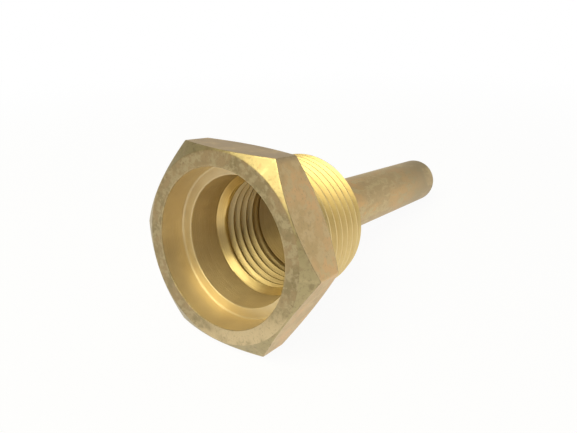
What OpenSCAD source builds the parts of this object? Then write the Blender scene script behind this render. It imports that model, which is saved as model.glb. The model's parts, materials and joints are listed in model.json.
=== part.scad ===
// Thermowell: a one-piece brass pocket, screwed into a pipe or a tank, that keeps the
// stem of a thermometer dry. A hexagonal head carries a tapered process thread, and a
// thin closed stem reaches on into the process. The stepped socket is open at the head.
//
// The part's axis is the Y axis. The socket opens towards -Y, and the stem points to +Y.
// The origin is on the axis, in the plane of the head's back face, where the process
// thread begins. Two of the head's six flats are level: the part lies on the lower one.
// The process thread is cut as one helical groove. The thermometer's thread is left plain,
// as the true bore of its crests.

/* [Head] */
// Width across the six wrench flats
across_flats = 31.75; // [31.5:0.25:36]
// Thickness of the head, from its open face to its back face
head_t = 7.94; // [7.5:0.02:9.5]
// Diameter of the round land that the corner chamfers leave on both faces
land_d = 31.2; // [28.6:0.1:31.4]
// Angle of the corner chamfers to the faces
chamfer_angle = 30; // [20:1:35]

/* [Process thread] */
// Length of the thread, from the head's back face to its end
process_l = 15.87; // [15:0.01:20]
// Crest diameter at the small end
process_d = 25.5; // [25.2:0.1:27]
// Length in which the crest diameter grows by one unit
taper_length = 16; // [12:1:24]
// Width of the chamfer at the thread's end
process_chamfer = 0.4; // [0.1:0.1:0.8]
// Threads in one inch of length
threads_per_inch = 14; // [11.5, 12, 14]
// Depth of the groove below the crests
thread_depth = 1.2; // [0.6:0.05:1.25]
// Angle between each side of the groove and a plane across the axis
flank_angle = 30; // [27.5, 30]
// Turns over which the groove dies out at the head
vanish = 3.5; // [1:0.1:4]
// Angle about the axis at which the groove would meet the head
thread_angle = 295; // [0:1:359]
// Straight steps in one turn of the groove
thread_steps = 30; // [24:6:48]

/* [Stem] */
// Length of the stem, from the end of the process thread to the tip
stem_l = 56.7; // [40:0.1:150]
// Diameter beside the shoulder
stem_root_d = 11.16; // [10.8:0.02:12.4]
// Diameter where the round tip begins
stem_tip_d = 11; // [10.6:0.02:12.4]
// Radius that rounds the edge of the tip
tip_r = 3.2; // [0.5:0.1:5.2]
// Angle between the conical shoulder and the axis
shoulder_angle = 45; // [40:1:60]
// Radius of the fillet between the shoulder and the stem
root_r = 2; // [0.5:0.1:3]

/* [Socket] */
// Diameter of the wide counterbore at the open face
counterbore_d = 26.3; // [24:0.1:27.6]
// Depth of the counterbore, from the open face to the seat
counterbore_depth = 4.9; // [3:0.1:6]
// Diameter of the plain bore between the seat and the thread
relief_d = 22.4; // [22:0.1:23]
// Depth of the plain bore, from the open face
relief_depth = 11.4; // [8:0.1:12]
// Crest diameter of the thermometer's thread
socket_d = 20.3; // [20:0.1:21.4]
// Depth of the threaded bore, from the open face
socket_depth = 22.5; // [18:0.1:22.8]
// Angle between the thread's lead-in chamfer and the axis
lead_in_angle = 45; // [30:5:60]
// Width of the bevel that breaks the sharp edges of the bores
edge_break = 0.2; // [0.1:0.05:0.4]

/* [Stem bore] */
// Diameter of the long blind bore in the stem
stem_bore_d = 8; // [6:0.1:8.6]
// Metal left between the point of the stem bore and the end of the tip
tip_wall = 2.4; // [2:0.1:6]
// Angle of the drill points at the bottom of both blind bores
drill_angle = 118; // [90:1:140]

/* [Hidden] */
$fn = 96;
// Overlap that keeps joined and cut solids from only touching
overlap = 0.5;
corner_r = across_flats / 2 / cos(30);
land_r = land_d / 2;
process_end_r = process_d / 2 - process_chamfer;
process_start_r = (process_d + process_l / taper_length) / 2;
stem_root_r = stem_root_d / 2;
stem_tip_r = stem_tip_d / 2;
tip_z = process_l + stem_l;
pitch = 25.4 / threads_per_inch;
// Height at which the groove starts, clear of the head
groove_start = 0.4;
// How far the groove's cutter reaches out of the crests, and stands clear of them at first
groove_out = 0.2;
groove_clear = 0.1;
socket_r = socket_d / 2;
stem_bore_r = stem_bore_d / 2;
drill_half = drill_angle / 2;

// Height of a cone that goes from radius r1 to radius r2 at this angle to the axis
function cone_h(r1, r2, angle) = (r1 - r2) / tan(angle);

// Turns a part that is modelled along +Z to point along +Y
module along_y() {
    rotate([-90, 0, 0]) children();
}

// Everything inside the two cones that cut back the corners of the hexagon
module chamfer_envelope() {
    reach = corner_r + overlap;
    drop = (reach - land_r) * tan(chamfer_angle);
    rotate_extrude()
        polygon([
            [0, -head_t],
            [land_r, -head_t],
            [reach, drop - head_t],
            [reach, -drop],
            [land_r, 0],
            [0, 0]
        ]);
}

module head() {
    intersection() {
        translate([0, 0, -head_t]) cylinder(r = corner_r, h = head_t, $fn = 6);
        chamfer_envelope();
    }
}

// The taper of the crests, from inside the head to the chamfer at the small end
module process_thread() {
    crest_l = process_l - process_chamfer;
    crest_end_r = process_start_r - crest_l / taper_length / 2;
    translate([0, 0, -overlap]) cylinder(r = process_start_r, h = overlap);
    cylinder(r1 = process_start_r, r2 = crest_end_r, h = crest_l);
    translate([0, 0, crest_l])
        cylinder(r1 = crest_end_r, r2 = process_end_r, h = process_chamfer);
}

// The corners of the groove's V at one step along the helix: its root and its two sides
function groove_section(step) =
    let (
        turns = step / thread_steps,
        z = groove_start + turns * pitch,
        angle = thread_angle + 360 * z / pitch,
        crest_r = process_start_r - z / taper_length / 2,
        depth = (thread_depth + groove_clear) * min(1, turns / vanish) - groove_clear,
        out_r = crest_r + groove_out,
        half_w = (depth + groove_out) * tan(flank_angle)
    )
    [for (p = [[crest_r - depth, z], [out_r, z + half_w], [out_r, z - half_w]])
        [p[0] * cos(angle), p[0] * sin(angle), p[1]]];

// The tool that cuts the thread: a right-hand V groove, from the head past the shoulder
module thread_groove() {
    end_z = process_l + thread_depth + 2 * process_chamfer;
    steps = ceil((end_z - groove_start) / pitch * thread_steps);
    sides = [
        for (i = [0:steps - 1], k = [0:2])
            let (a = 3 * i + k, b = 3 * i + (k + 1) % 3)
            each [[a, a + 3, b + 3], [a, b + 3, b]]
    ];
    last = 3 * steps;
    polyhedron(
        points = [for (i = [0:steps]) each groove_section(i)],
        faces = [[0, 1, 2], each sides, [last + 2, last + 1, last]]
    );
}

// The cone behind the thread, which runs into the stem through a fillet
module shoulder() {
    fillet_x = stem_root_r + root_r;
    fillet_z = process_l + cone_h(process_end_r, fillet_x, shoulder_angle)
        + root_r / sin(shoulder_angle);
    rotate_extrude()
        difference() {
            polygon([
                [0, process_l - overlap],
                [process_end_r, process_l - overlap],
                [process_end_r, process_l],
                [fillet_x - root_r * cos(shoulder_angle), fillet_z - root_r * sin(shoulder_angle)],
                [fillet_x, fillet_z],
                [0, fillet_z]
            ]);
            translate([fillet_x, fillet_z]) circle(r = root_r);
        }
}

// A slightly tapered rod with a round edge at the tip
module stem() {
    rotate_extrude() {
        polygon([
            [0, process_l],
            [stem_root_r, process_l],
            [stem_tip_r, tip_z - tip_r],
            [0, tip_z - tip_r]
        ]);
        translate([0, tip_z - tip_r]) square([stem_tip_r - tip_r, tip_r]);
        intersection() {
            translate([stem_tip_r - tip_r, tip_z - tip_r]) circle(r = tip_r);
            translate([0, tip_z - tip_r]) square([stem_tip_r, tip_r]);
        }
    }
}

// One plain step of the socket, from the open face to a depth, with a bevel at a depth
module socket_step(r, depth, mouth = 0) {
    translate([0, 0, -overlap]) cylinder(r = r, h = depth + overlap);
    translate([0, 0, mouth]) cylinder(r1 = r + edge_break, r2 = r, h = edge_break);
}

// The tool that clears the whole socket, with the open face at height 0
module socket() {
    socket_step(counterbore_d / 2, counterbore_depth);
    socket_step(relief_d / 2, relief_depth, counterbore_depth);
    lead_in_h = cone_h(relief_d / 2, socket_r, lead_in_angle);
    translate([0, 0, relief_depth]) cylinder(r1 = relief_d / 2, r2 = socket_r, h = lead_in_h);
    cylinder(r = socket_r, h = socket_depth);
    translate([0, 0, socket_depth])
        cylinder(r1 = socket_r, r2 = 0, h = cone_h(socket_r, 0, drill_half));
}

// The tool that drills the stem, with the open face at height 0
module stem_bore() {
    point_z = head_t + tip_z - tip_wall;
    wall_end = point_z - cone_h(stem_bore_r, 0, drill_half);
    cylinder(r = stem_bore_r, h = wall_end);
    translate([0, 0, wall_end])
        cylinder(r1 = stem_bore_r, r2 = 0, h = cone_h(stem_bore_r, 0, drill_half));
}

module thermowell() {
    color([0.70, 0.58, 0.37])
        along_y()
            difference() {
                union() {
                    head();
                    process_thread();
                    shoulder();
                    stem();
                }
                thread_groove();
                translate([0, 0, -head_t]) {
                    socket();
                    stem_bore();
                }
            }
}

thermowell();
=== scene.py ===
import json
import math

import bmesh
import bpy
import numpy as np
from mathutils import Matrix, Vector

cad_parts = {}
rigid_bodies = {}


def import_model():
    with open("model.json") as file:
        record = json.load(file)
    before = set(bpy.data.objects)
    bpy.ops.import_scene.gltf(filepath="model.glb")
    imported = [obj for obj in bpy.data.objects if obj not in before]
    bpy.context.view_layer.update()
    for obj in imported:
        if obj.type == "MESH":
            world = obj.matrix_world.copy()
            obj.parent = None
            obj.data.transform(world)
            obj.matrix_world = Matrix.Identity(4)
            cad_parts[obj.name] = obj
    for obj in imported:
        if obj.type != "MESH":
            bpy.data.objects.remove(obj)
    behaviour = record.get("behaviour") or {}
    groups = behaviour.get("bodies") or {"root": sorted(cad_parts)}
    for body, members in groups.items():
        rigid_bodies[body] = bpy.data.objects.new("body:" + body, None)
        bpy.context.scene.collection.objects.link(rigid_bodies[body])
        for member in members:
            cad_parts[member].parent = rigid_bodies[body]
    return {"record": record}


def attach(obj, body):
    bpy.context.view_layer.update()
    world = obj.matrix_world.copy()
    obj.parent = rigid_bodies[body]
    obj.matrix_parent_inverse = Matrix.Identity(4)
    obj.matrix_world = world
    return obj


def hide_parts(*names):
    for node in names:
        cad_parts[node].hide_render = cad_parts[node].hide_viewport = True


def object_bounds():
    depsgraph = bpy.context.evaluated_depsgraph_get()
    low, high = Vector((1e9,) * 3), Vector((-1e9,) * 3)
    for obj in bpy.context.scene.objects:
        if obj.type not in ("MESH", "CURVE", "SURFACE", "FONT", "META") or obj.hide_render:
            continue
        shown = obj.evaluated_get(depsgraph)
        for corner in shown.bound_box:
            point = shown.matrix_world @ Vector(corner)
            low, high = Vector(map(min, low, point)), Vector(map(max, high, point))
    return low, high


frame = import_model()
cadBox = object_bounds()
mounts = {m["name"]: m for m in frame["record"]["mounts"]}
mm = 0.001


def wallOf(name):
    # radius of a round mount's wall, and where it starts and ends along Y
    m = mounts[name]
    half = m["dims"]["length_mm"] * mm / 2
    middle = m["pos_m"][1]
    return m["dims"]["r_mm"] * mm, middle - half, middle + half


head = {
    "faceY": mounts["open_face"]["pos_m"][1],
    "flatR": mounts["wrench_flat_top"]["pos_m"][2],  # from the axis to a flat
    "landR": 15.6 * mm,  # round land inside the corner chamfers
    "chamfer": math.radians(30),  # between the chamfer and the face
    "cornerRound": 0.35 * mm,
    "edgeRound": 0.1 * mm,  # between a chamfer and a flat
    "landRound": 0.5 * mm,
}

bore = {
    "mouth": wallOf("counterbore"),
    "plain": wallOf("plain_bore"),
    "thread": wallOf("thermometer_thread"),
    "stem": wallOf("stem_bore"),
    "seatY": mounts["seat"]["pos_m"][1],
    "edgeBreak": 0.1 * mm,
    "edgeRound": 0.1 * mm,
    "drillRound": 0.15 * mm,  # where the drill point meets the stem bore
    "mouthRound": 0.12 * mm,
    "seatFillet": 0.3 * mm,
    "rim": 0.3 * mm,  # of the plain bore, finished like the seat
    "threadStop": 0.3 * mm,  # plain metal behind the thread
    "leadEnd": 0.3 * mm,  # how far the lead-in cone runs into the thread
    "drillHalf": math.radians(59),  # half of the drill point's angle
}

processThread = {
    "pitch": 25.4 / 14 * mm,
    "length": 15.87 * mm,
    "endR": 12.75 * mm,  # crests at the small end
    "taper": 1 / 32,  # growth of the radius along the axis, towards the head
    "chamfer": 0.4 * mm,
    "rootFlat": 0.065,  # half widths of the root and the crest, as shares of the pitch
    "crestFlat": 0.062,
    "turn": 0.18,  # where the helix starts, in turns
    "start": 0.4 * mm,  # from the head to where the groove starts
    "vanish": 3.5,  # turns over which the groove dies out at the head
}

socketThread = {
    "pitch": 25.4 / 14 * mm,
    "rootR": 11.0 * mm,
    "rootFlat": 0.13,
    "crestFlat": 0.05,
    "turn": 0.87,
    "vanish": 1.0,
    "entry": 0.35,  # turns over which the groove deepens behind the lead-in cone
}

stem = {
    "rootR": 5.58 * mm,
    "tipR": 5.5 * mm,
    "tipRound": 3.2 * mm,
    "shoulder": math.radians(45),
    "rootRound": 2 * mm,
    "tipY": cadBox[1].y,
}


def columnAngles(corners=6, close=(0, 0.25, 0.5, 0.75, 1.1, 1.7, 2.6, 4.0)):
    # angles round the axis, packed close at the corners of the hexagon
    wide = 360 / corners
    between = np.linspace(close[-1], wide - close[-1], 23)[1:-1]
    one = np.concatenate([close, between, wide - np.array(close[:0:-1])])
    every = (np.arange(corners)[:, None] * wide + one[None, :]).ravel()
    return np.radians(np.append(every, 360.0))


theta = columnAngles()
toCorner = np.abs((theta + math.pi / 6) % (math.pi / 3) - math.pi / 6)  # angle to the nearest corner


def hexRadius(apothem, rounding):
    # distance from the axis to a hexagon with rounded corners: the flats of the
    # hexagon, and beside each corner an arc about the corner of a smaller hexagon
    sixth = math.radians(30)
    centre = (apothem - rounding) / math.cos(sixth)
    tangent = math.atan2(rounding * math.sin(sixth), centre + rounding * math.cos(sixth))
    flat = apothem / np.cos(sixth - toCorner)
    inside = np.clip(rounding ** 2 - (centre * np.sin(toCorner)) ** 2, 0, None)
    arc = centre * np.cos(toCorner) + np.sqrt(inside)
    return np.where(toCorner < tangent, arc, flat)


def point(y, r):
    # one corner of the profile: a height and a radius, which may differ on each column
    return np.stack(np.broadcast_arrays(y + 0 * theta, r + 0 * theta), -1)


def roundedPath(corners, supports=(0.12 * mm, 0.5 * mm), longest=1.6 * mm):
    # rows of points along a broken line whose corners are true arcs: each arc is a
    # rational curve weighted by the cosine of half the turn, and each straight part
    # keeps rows close to both of its ends, so that its shading stays flat
    places = [c[0] for c in corners]
    rows = [places[0][None]]
    for i in range(1, len(corners)):
        here = places[i]
        along = here - places[i - 1]
        ahead = along / np.maximum(np.linalg.norm(along, axis=-1, keepdims=True), 1e-12)
        start = rows[-1][-1]
        stop, curve = here, here[None]
        if i < len(corners) - 1 and corners[i][1] > 0:
            after = places[i + 1] - here
            after = after / np.maximum(np.linalg.norm(after, axis=-1, keepdims=True), 1e-12)
            halfTurn = np.arccos(np.clip((ahead * after).sum(-1, keepdims=True), -1, 1)) / 2
            cut = corners[i][1] * np.tan(halfTurn)
            stop = here - ahead * cut
            s = np.linspace(0, 1, corners[i][2] + 1)[:, None, None]
            a, b, c = (1 - s) ** 2, 2 * np.cos(halfTurn) * s * (1 - s), s ** 2
            curve = (a * stop + b * here + c * (here + after * cut)) / (a + b + c)
        span = np.linalg.norm(stop - start, axis=-1, keepdims=True)
        near = [np.minimum(d, span * k) for d, k in zip(supports, (0.2, 0.4))]
        middle = max(2, int(span.max() / longest))
        share = np.linspace(0, 1, middle)[:, None, None]
        steps = [near[0][None], near[1] + (span - 2 * near[1]) * share, (span - near[0])[None]]
        rows.append(start + ahead * np.concatenate(steps))
        rows.append(curve)
    return np.concatenate(rows)


def threadDepth(y, thread):
    # how deep the groove is at a height on each column, from 0 on the crest to 1 in
    # the root: straight flanks between a flat root at whole turns and a flat crest
    turns = y / thread["pitch"] + theta / (2 * math.pi) - thread["turn"]
    off = np.abs((turns + 0.5) % 1 - 0.5)
    flank = (0.5 - thread["crestFlat"] - off) / (0.5 - thread["crestFlat"] - thread["rootFlat"])
    return np.clip(flank, 0, 1)


def helixRows(start, stop, thread):
    # heights of rows that follow the right-hand helix about +Y: a row falls one pitch
    # in a turn, where it meets the next row but so many, and is held between the ends
    keys = [0, thread["rootFlat"], 0.5 - thread["crestFlat"], 0.5 + thread["crestFlat"],
            1 - thread["rootFlat"], 1]
    fine = np.concatenate([np.linspace(a, b, 4)[:-1] for a, b in zip(keys, keys[1:])])
    low, high = min(start, stop), max(start, stop)
    first, last = math.floor(low / thread["pitch"]) - 2, math.ceil(high / thread["pitch"]) + 3
    turns = (np.arange(first, last)[:, None] + fine[None]).ravel() + thread["turn"]
    y = np.clip((turns[:, None] - theta[None] / (2 * math.pi)) * thread["pitch"], low, high)
    return y if stop > start else y[::-1]


def socketRows():
    # from the point of the stem bore out to the middle of the land, by kinds of finish
    stemR, stemLow, stemHigh = bore["stem"]
    threadR, threadLow, threadHigh = bore["thread"]
    plainR, plainLow, plainHigh = bore["plain"]
    mouthR = bore["mouth"][0]
    mouthStart = head["faceY"] + bore["mouthRound"]
    rimEnd = plainLow + bore["rim"]
    threadEnd = threadHigh - bore["threadStop"]
    small = bore["edgeRound"]
    t = socketThread
    deep = roundedPath([
        (point(stemHigh + stemR / math.tan(bore["drillHalf"]), 0),),
        (point(stemHigh, stemR), small, 2),
        (point(stemLow, stemR), bore["drillRound"], 2),
        (point(threadHigh, threadR), small, 2),
        (point(threadEnd, threadR),),
    ])
    y = helixRows(threadEnd, plainHigh, t)
    leadEnd = threadLow + bore["leadEnd"]
    fadeIn = np.clip((y - leadEnd) / (t["entry"] * t["pitch"]), 0, 1)
    fadeOut = np.clip((threadEnd - y) / (t["vanish"] * t["pitch"]), 0, 1)
    groove = threadR + (t["rootR"] - threadR) * threadDepth(y, t) * fadeIn * fadeOut
    lead = plainR + (plainHigh - y) * (plainR - threadR) / (leadEnd - plainHigh)
    thread = np.stack([y, np.maximum(groove, lead)], -1)
    plain = roundedPath([(point(plainHigh, plainR),), (point(rimEnd, plainR),)])
    wall = roundedPath([
        (point(rimEnd, plainR),),
        (point(plainLow, plainR), small, 2),
        (point(bore["seatY"], plainR + bore["edgeBreak"]), small, 2),
        (point(bore["seatY"], mouthR), bore["seatFillet"], 5),
        (point(mouthStart, mouthR),),
    ])
    mouth = roundedPath([
        (point(mouthStart, mouthR),),
        (point(head["faceY"], mouthR), bore["mouthRound"], 4),
        (point(head["faceY"], (mouthR + head["landR"]) / 2),),
    ])
    return deep, thread, plain, wall, mouth


def headRows():
    # across the land, down the chamfer, along the flat, and the same way back
    reach = hexRadius(head["flatR"], head["cornerRound"])
    drop = (reach - head["landR"]) * math.tan(head["chamfer"])
    startR = processThread["endR"] + processThread["length"] * processThread["taper"]
    middle = (bore["mouth"][0] + head["landR"]) / 2
    flatStart = head["faceY"] + drop + head["edgeRound"]
    flatEnd = -drop - head["edgeRound"]
    across = roundedPath([
        (point(head["faceY"], middle),),
        (point(head["faceY"], head["landR"]), head["landRound"], 3),
        (point(head["faceY"] + drop, reach), head["edgeRound"], 3),
        (point(flatStart, reach),),
    ])
    flat = roundedPath([
        (point(flatStart, reach),),
        (point(flatEnd, reach),),
    ])
    back = roundedPath([
        (point(flatEnd, reach),),
        (point(-drop, reach), head["edgeRound"], 3),
        (point(0, head["landR"]), head["landRound"], 3),
        (point(0, startR),),
    ])
    return across, flat, back


def outsideRows():
    # the process thread, then the shoulder, the stem and its tip
    t = processThread
    slope = math.tan(stem["shoulder"])
    endR = t["endR"] - t["chamfer"]
    deepest = (0.5 - t["rootFlat"] - t["crestFlat"]) * t["pitch"] / math.tan(math.radians(30))
    clear = t["length"] + (endR - (t["endR"] - deepest)) / slope + 0.1 * mm
    y = helixRows(0, clear, t)
    crest = t["endR"] + (t["length"] - t["chamfer"] - y) * t["taper"]
    fade = np.clip((y - t["start"]) / (t["vanish"] * t["pitch"]), 0, 1)
    groove = crest - deepest * threadDepth(y, t) * fade
    chamfer = t["endR"] - (y - (t["length"] - t["chamfer"]))
    shoulder = endR - (y - t["length"]) * slope
    thread = np.stack([y, np.minimum(groove, np.minimum(chamfer, shoulder))], -1)
    rest = roundedPath([
        (point(clear, endR - (clear - t["length"]) * slope),),
        (point(t["length"] + (endR - stem["rootR"]) / slope, stem["rootR"]), stem["rootRound"], 6),
        (point(stem["tipY"], stem["tipR"]), stem["tipRound"], 14),
        (point(stem["tipY"], 0),),
    ])
    return thread, rest


body = {
    "weld": 1e-6,  # points closer than this become one, in m
    "sliver": 1e-7,  # edges shorter than this are taken out
    "sharp": math.radians(38),  # edges that turn more than this stay sharp
    "far": 5.0,  # stands for no edge nearby, in mm
}


def closedSurface(name, parts):
    # joins the parts' rows into one closed surface: every row runs once round the axis,
    # each point lies at its own height and radius, and faces join neighbouring rows
    rows = np.concatenate([p[0] for p in parts])
    finish = np.concatenate([np.full(len(p[0]), p[1]) for p in parts])
    y, r = rows[..., 0], rows[..., 1]
    places = np.stack([r * np.cos(theta), y, r * np.sin(theta)], -1).reshape(-1, 3)
    count, columns = y.shape
    i, j = np.meshgrid(np.arange(count - 1), np.arange(columns - 1), indexing="ij")
    corner = (i * columns + j).ravel()
    faces = np.stack([corner, corner + columns, corner + columns + 1, corner + 1], -1)
    mesh = bpy.data.meshes.new(name)
    mesh.from_pydata(places, [], faces)
    mesh.polygons.foreach_set("material_index", finish[i.ravel()])
    # how far along the profile each point lies, in mm, for the marks of the turning tool
    travel = np.hypot(np.diff(y, axis=0), np.diff(r, axis=0)).mean(1)
    along = np.concatenate([[0], np.cumsum(travel)]) / mm
    mesh.attributes.new("along", "FLOAT", "POINT").data.foreach_set("value", np.repeat(along, columns))
    # how far each point is from an edge of the hexagonal head, in mm
    onHead = (y < 0.001 * mm) & (r > bore["mouth"][0] - 0.01 * mm)
    reach = hexRadius(head["flatR"], head["cornerRound"])
    drop = (reach - head["landR"]) * math.tan(head["chamfer"])
    edges = [(head["faceY"], bore["mouth"][0]), (head["faceY"] + drop, reach), (-drop, reach)]
    gaps = [np.hypot(y - ey, r - er) for ey, er in edges]
    gaps.append(np.where(r > head["landR"], toCorner * r, body["far"] * mm))
    gap = np.where(onHead, np.minimum.reduce(gaps), body["far"] * mm) / mm
    mesh.attributes.new("edge", "FLOAT", "POINT").data.foreach_set("value", gap.ravel())
    shape = bmesh.new()
    shape.from_mesh(mesh)
    bmesh.ops.remove_doubles(shape, verts=shape.verts, dist=body["weld"])
    bmesh.ops.dissolve_degenerate(shape, edges=shape.edges, dist=body["sliver"])
    shape.to_mesh(mesh)
    shape.free()
    mesh.polygons.foreach_set("use_smooth", np.ones(len(mesh.polygons), bool))
    mesh.set_sharp_from_angle(angle=body["sharp"])
    mesh.update()
    piece = bpy.data.objects.new(name, mesh)
    bpy.context.scene.collection.objects.link(piece)
    return piece


class Wire:
    # one socket of a node tree: sums and products of wires add Math nodes
    def __init__(self, tree, socket=None):
        self.tree = tree
        self.socket = socket

    def node(self, kind, settings=None, inputs=None, out=0):
        # any node: its settings are set first, then the values or wires of its sockets
        made = self.tree.nodes.new("ShaderNode" + kind)
        for key, value in (settings or {}).items():
            setattr(made, key, value)
        for key, value in (inputs or {}).items():
            if isinstance(value, Wire):
                self.tree.links.new(value.socket, made.inputs[key])
            else:
                made.inputs[key].default_value = value
        return Wire(self.tree, made.outputs[out]) if len(made.outputs) else None

    def maths(self, operation, a, b=0.0):
        return self.node("Math", {"operation": operation}, {0: a, 1: b})

    def __add__(self, other):
        return self.maths("ADD", self, other)

    def __radd__(self, other):
        return self.maths("ADD", other, self)

    def __sub__(self, other):
        return self.maths("SUBTRACT", self, other)

    def __rsub__(self, other):
        return self.maths("SUBTRACT", other, self)

    def __mul__(self, other):
        return self.maths("MULTIPLY", self, other)

    def __rmul__(self, other):
        return self.maths("MULTIPLY", other, self)

    def ramp(self, low, high, start=0.0, stop=1.0):
        # eases from start to stop as the value goes from low to high
        return self.node("MapRange", {"interpolation_type": "SMOOTHSTEP"},
                         {0: self, 1: low, 2: high, 3: start, 4: stop})

    def noise(self, size, detail=2.0, rough=0.5, bend=0.0, seed=0.0):
        # an even noise on these coordinates, which are in mm, with lumps of this size
        return self.node("TexNoise", {"noise_dimensions": "4D"},
                         {"Vector": self, "W": seed, "Scale": 1 / size, "Detail": detail,
                          "Roughness": rough, "Distortion": bend})

    def rings(self, size, detail=2.0):
        # a noise along one direction only, on a distance in mm
        return self.node("TexNoise", {"noise_dimensions": "1D"},
                         {"W": self, "Scale": 1 / size, "Detail": detail})

    def blend(self, colour, other):
        # mixes two colours by this factor
        pair = [c if isinstance(c, Wire) else (*c, 1) for c in (colour, other)]
        return self.node("Mix", {"data_type": "RGBA"}, {0: self, 6: pair[0], 7: pair[1]}, 2)


def emptyMaterial(name):
    material = bpy.data.materials.new(name)
    material.use_nodes = True
    material.node_tree.nodes.clear()
    return material, Wire(material.node_tree)


def metalOutput(wire, colour, rough, height, metallic, facing=None):
    # a metal whose relief is a height in mm, on a surface that may face its own way
    relief = {"Height": height, "Distance": mm, "Strength": 1.0}
    if facing:
        relief["Normal"] = facing
    bump = wire.node("Bump", {}, relief)
    metal = wire.node("BsdfPrincipled", {}, {"Base Color": colour, "Metallic": metallic,
                                            "Roughness": rough, "Normal": bump})
    wire.node("OutputMaterial", {}, {"Surface": metal})


landSkin = {
    "dull": (0.32, 0.252, 0.13),  # olive film
    "warm": (0.41, 0.30, 0.16),  # rosy, where the film is thin
    "pale": (0.47, 0.38, 0.22),
    "soot": (0.20, 0.155, 0.085),  # specks
    "rubbed": (0.66, 0.52, 0.28),  # bare metal along the edges
    "chamfer": (0.45, 0.368, 0.195),  # the cones that cut back the corners
    "metallic": 0.85,
    "rough": 0.44,
    "relief": 0.6,
    "grain": 1.1,  # size of the patches, in mm, and then of the specks and the sandy relief
    "speck": 0.4,
    "sand": 0.2,
    "stretch": (1, 1, 1),
    "seed": 0.0,
    "other": (0.42, 0, -0.91),  # the way in which another colour takes over, from and to, in mm
    "otherFrom": 8.5,
    "otherTo": 14.5,
    "otherColour": (0.67, 0.535, 0.32),  # painted reflection of the floor: the lowest corner is painted paler
}

# on the flats the other colour is painted shade: the top flat is painted darker
flatSkin = dict(landSkin, dull=(0.62, 0.45, 0.22), warm=(0.76, 0.51, 0.25), pale=(0.70, 0.53, 0.28),
                soot=(0.44, 0.31, 0.17), chamfer=None, rough=0.42, relief=0.5, grain=1.6, seed=7.0,
                other=(0, 0, 1), otherFrom=14.8, otherTo=15.8, otherColour=(0.48, 0.355, 0.20))

stemSkin = dict(landSkin, dull=(0.57, 0.42, 0.21), warm=(0.72, 0.475, 0.21), pale=(0.66, 0.52, 0.27),
                soot=(0.40, 0.285, 0.14), chamfer=None, relief=0.7, grain=1.5, stretch=(1, 0.4, 1),
                seed=13.0, other=(0, 1, 0), otherFrom=36, otherTo=74, otherColour=(0.40, 0.31, 0.165))


def castBrass(name, skin):
    # the skin that the mould left: dull and rosy patches, small dark specks, fine sandy relief,
    # and rubbed edges that show the metal; another colour along one direction is painted light on the
    # land and flats
    material, wire = emptyMaterial(name)
    place = wire.node("TexCoord", {}, {}, "Object")
    place = wire.node("VectorMath", {"operation": "SCALE"}, {0: place, "Scale": 1 / mm})
    edge = wire.node("Attribute", {"attribute_name": "edge"}, {}, "Fac")
    seed = skin["seed"]
    long = wire.node("VectorMath", {"operation": "MULTIPLY"}, {0: place, 1: skin["stretch"]})
    broad = long.noise(skin["grain"] * 3, 3, seed=seed + 3)
    patch = long.noise(skin["grain"], 4, 0.62, 0.4, seed=seed + 1)
    speck = place.noise(skin["speck"], 3, 0.6, seed=seed + 2)
    sand = place.noise(skin["sand"], 2, 0.6, seed=seed + 4)
    colour = broad.ramp(0.40, 0.60).blend(skin["dull"], skin["warm"])
    colour = patch.ramp(0.46, 0.60).blend(colour, skin["pale"])
    # another colour along one direction: on the land a painted reflection that pales the lowest corner,
    # on the flats painted shade on the top flat, on the stem a darker tone towards the tip
    reach = wire.node("VectorMath", {"operation": "DOT_PRODUCT"}, {0: place, 1: skin["other"]}, "Value")
    reach = reach.ramp(skin["otherFrom"], skin["otherTo"]) * broad.ramp(0.28, 0.52)
    rough = skin["rough"] + patch * 0.14
    if skin["chamfer"]:
        # these cones are found by how far the surface turns from the face
        faces = wire.node("NewGeometry", {}, {}, "Normal")
        slope = wire.node("SeparateXYZ", {}, {0: faces}, "Y")
        slope = slope.maths("ABSOLUTE", slope)
        chamfer = slope.ramp(0.96, 0.90) * slope.ramp(0.76, 0.84)
        colour = (chamfer * patch.ramp(0.30, 0.50)).blend(colour, skin["chamfer"])
        reach = reach * (1 - chamfer)
        rough = rough - chamfer * 0.10
    colour = reach.blend(colour, skin["otherColour"])
    colour = (speck.ramp(0.52, 0.74) * 0.5).blend(colour, skin["soot"])
    rubbed = edge.ramp(0.5, 0.0) * speck.ramp(0.42, 0.62)
    colour = (rubbed * 0.4).blend(colour, skin["rubbed"])
    rough = rough - rubbed * 0.12
    height = broad * 0.25 + patch * 0.05 + speck * 0.02 + sand * 0.012  # in mm
    metalOutput(wire, colour, rough, height * skin["relief"], skin["metallic"])
    return material


wallSkin = {
    "clean": (0.80, 0.66, 0.41),
    "film": (0.74, 0.60, 0.365),  # a light tarnish, in clouds
    "metallic": 0.66,
    "rough": 0.34,
    "marks": (0.35, 0.09, 0.05),  # widths of the marks left by the tool, in mm
    "rings": 0.016,  # height of the widest ones, in mm
    "fan": 1.4,  # how far the finest marks spread a highlight along the profile
    "dull": None,  # a darker, rougher colour that grows along the axis, from and to, in mm
}

plainSkin = dict(wallSkin, clean=(0.77, 0.62, 0.37), film=(0.70, 0.555, 0.325), metallic=0.62, rough=0.40,
                 rings=0.02, fan=2.0)

# bright at the lead-in, and duller from the first crest on
socketThreadSkin = dict(wallSkin, clean=(0.83, 0.672, 0.348), film=(0.76, 0.61, 0.312), metallic=0.93,
                        rough=0.28, fan=0.8, dull=(0.595, 0.475, 0.255), dullFrom=5.2, dullTo=7.0,
                        dullRough=0.12)

deepSkin = dict(wallSkin, clean=(0.46, 0.34, 0.165), film=(0.40, 0.29, 0.135), metallic=0.75, rough=0.48)

threadSkin = dict(wallSkin, clean=(0.88, 0.685, 0.325), film=(0.83, 0.635, 0.29), metallic=0.85,
                  rough=0.37, rings=0.014, fan=0.7)


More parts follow.
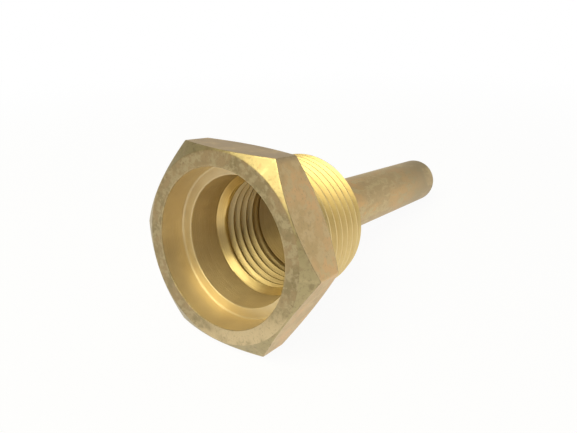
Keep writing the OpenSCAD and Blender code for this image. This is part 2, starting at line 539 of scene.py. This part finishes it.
def turnedBrass(name, skin):
    # walls cut on the lathe: fine rings left by the tool, and a light tarnish
    material, wire = emptyMaterial(name)
    place = wire.node("TexCoord", {}, {}, "Object")
    place = wire.node("VectorMath", {"operation": "SCALE"}, {0: place, "Scale": 1 / mm})
    along = wire.node("Attribute", {"attribute_name": "along"}, {}, "Fac")
    cloud = place.noise(3.5, 3, seed=5)
    wide, narrow, finest = skin["marks"]
    rings = along.rings(wide, 2)
    fine = along.rings(narrow, 1)
    colour = cloud.ramp(0.36, 0.64).blend(skin["film"], skin["clean"])
    colour = (rings.ramp(0.5, 0.7) * 0.35).blend(colour, skin["clean"])
    rough = skin["rough"] + cloud * 0.1
    metallic = skin["metallic"]
    if skin["dull"]:
        grown = wire.node("SeparateXYZ", {}, {0: place}, "Y") + (cloud - 0.5) * 1.2
        grown = grown.ramp(skin["dullFrom"], skin["dullTo"])
        colour = grown.blend(colour, skin["dull"])
        rough = rough + grown * skin["dullRough"]
        metallic = metallic - grown * 0.2
    height = rings * skin["rings"] + fine * 0.006 + cloud * 0.05
    # the finest marks are too small to see: they tilt the surface along the profile,
    # which is at right angles to the way round the axis
    faces = wire.node("NewGeometry", {}, {}, "Normal")
    aside = wire.node("VectorMath", {"operation": "CROSS_PRODUCT"}, {0: place, 1: (0, 1, 0)})
    aside = wire.node("VectorMath", {"operation": "NORMALIZE"}, {0: aside})
    travel = wire.node("VectorMath", {"operation": "CROSS_PRODUCT"}, {0: faces, 1: aside})
    tilt = (along.rings(finest, 0) - 0.5) * skin["fan"]
    tilt = wire.node("VectorMath", {"operation": "SCALE"}, {0: travel, "Scale": tilt})
    facing = wire.node("VectorMath", {"operation": "ADD"}, {0: faces, 1: tilt})
    facing = wire.node("VectorMath", {"operation": "NORMALIZE"}, {0: facing})
    metalOutput(wire, colour, rough, height, metallic, facing)
    return material


deep, socket, plain, wall, mouth = socketRows()
across, hexagon, back = headRows()
thread, rod = outsideRows()
finishes = [
    turnedBrass("deepBrass", deepSkin),
    turnedBrass("socketThreadBrass", socketThreadSkin),
    turnedBrass("plainBoreBrass", plainSkin),
    turnedBrass("counterboreBrass", wallSkin),
    castBrass("landBrass", landSkin),
    castBrass("flatBrass", flatSkin),
    turnedBrass("threadBrass", threadSkin),
    castBrass("stemBrass", stemSkin),
]
parts = [(deep, 0), (socket, 1), (plain, 2), (wall, 3), (mouth, 4), (across, 4), (hexagon, 5),
         (back, 4), (thread, 6), (rod, 7)]
well = closedSurface("thermowellBody", parts)
for finish in finishes:
    well.data.materials.append(finish)
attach(well, "root")
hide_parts("thermowell")
print("body:", len(well.data.vertices), "points,", len(well.data.polygons), "faces")

studio = {
    "front": 0.24,  # light from behind the camera
    "back": 0.85,  # light from the backdrop
    "turn": (-0.5, 0.6),  # parts of Y between which one changes to the other
    "above": 0.42,  # how much of that light is left overhead
    "rise": (0.15, 0.8),  # parts of Z between which it falls to that
    "floor": (0.9, 0.9, 0.9),
    "floorSize": 8,
    "glow": 0.94,  # share of the floor that shows plain white to the camera and the metal
    "near": (0.08, 0.35),  # distances in m between which all of it comes to do so
    "key": {"way": (0, -0.70, 0.71), "distance": 0.6, "size": 0.66, "level": 3.7, "tint": (1, 0.93, 0.6)},
}


def restPlane():
    # the surface that the part lies on touches the head's back edge and the tip
    edge = Vector((0, 0, -head["flatR"]))
    tip = Vector((0, stem["tipY"] - stem["tipRound"], stem["tipRound"] - stem["tipR"]))
    reach = tip - edge
    return edge, math.atan2(reach.z, reach.y) - math.asin(stem["tipRound"] / reach.length)


def makeFloor():
    edge, lean = restPlane()
    bpy.ops.mesh.primitive_plane_add(size=studio["floorSize"])
    floor = bpy.context.object
    floor.name = "floor"
    floor.matrix_world = Matrix.Translation(edge) @ Matrix.Rotation(lean, 4, "X")
    material, wire = emptyMaterial("paleFloor")
    camera = wire.node("LightPath", {}, {}, "Is Camera Ray")
    glossy = wire.node("LightPath", {}, {}, "Is Glossy Ray")
    matt = wire.node("BsdfDiffuse", {}, {"Color": (*studio["floor"], 1)})
    white = wire.node("Emission", {}, {"Strength": 1.0})
    away = wire.node("TexCoord", {}, {}, "Object")
    away = wire.node("VectorMath", {"operation": "LENGTH"}, {0: away}, "Value")
    shown = (camera + glossy) * away.ramp(*studio["near"], studio["glow"], 1.0)
    both = wire.node("MixShader", {}, {0: shown, 1: matt, 2: white})
    wire.node("OutputMaterial", {}, {"Surface": both})
    floor.data.materials.append(material)


def makeWorld():
    # dim in front, where the camera stands, and bright behind, where the backdrop is
    world = bpy.data.worlds.new("studio")
    bpy.context.scene.world = world
    world.use_nodes = True
    world.node_tree.nodes.clear()
    wire = Wire(world.node_tree)
    way = wire.node("TexCoord", {}, {}, "Generated")
    level = wire.node("SeparateXYZ", {}, {0: way}, "Y")
    level = level.ramp(*studio["turn"], studio["front"], studio["back"])
    high = wire.node("SeparateXYZ", {}, {0: way}, "Z")
    level = level * high.ramp(*studio["rise"], 1.0, studio["above"])
    camera = wire.node("LightPath", {}, {}, "Is Camera Ray")
    strength = camera + (1 - camera) * level
    light = wire.node("Background", {}, {"Color": (1, 1, 1, 1), "Strength": strength})
    wire.node("OutputWorld", {}, {"Surface": light})


def softbox(name, way, distance, size, level, tint):
    # a round lamp whose face is this many times as bright as white
    lamp = bpy.data.lights.new(name, "AREA")
    lamp.shape = "DISK"
    lamp.size = size
    lamp.color = tint
    lamp.energy = level * math.pi * math.pi * (size / 2) ** 2
    box = bpy.data.objects.new(name, lamp)
    way = Vector(way).normalized()
    box.location = way * distance
    box.rotation_mode = "QUATERNION"
    box.rotation_quaternion = way.to_track_quat("Z", "Y")
    box.visible_camera = False
    bpy.context.scene.collection.objects.link(box)


makeFloor()
makeWorld()
softbox("keyLamp", **studio["key"])
print("studio ready")

view = {
    "place": (50.358, -60.84, 28.70),  # mm
    "right": (0.80297, 0.59190, 0.06996),
    "up": (-0.22936, 0.19853, 0.95288),
    "lens": 30.95,
}


def makeCamera():
    camera = bpy.data.objects.new("camera", bpy.data.cameras.new("camera"))
    bpy.context.scene.collection.objects.link(camera)
    right, up = Vector(view["right"]), Vector(view["up"])
    turn = Matrix((right, up, right.cross(up))).transposed()
    camera.matrix_world = Matrix.Translation(Vector(view["place"]) * mm) @ turn.to_4x4()
    camera.data.lens = view["lens"]
    camera.data.sensor_width = 36
    camera.data.clip_start = 5 * mm
    camera.data.clip_end = 20
    bpy.context.scene.camera = camera
    bpy.context.scene.view_settings.view_transform = "Standard"


makeCamera()
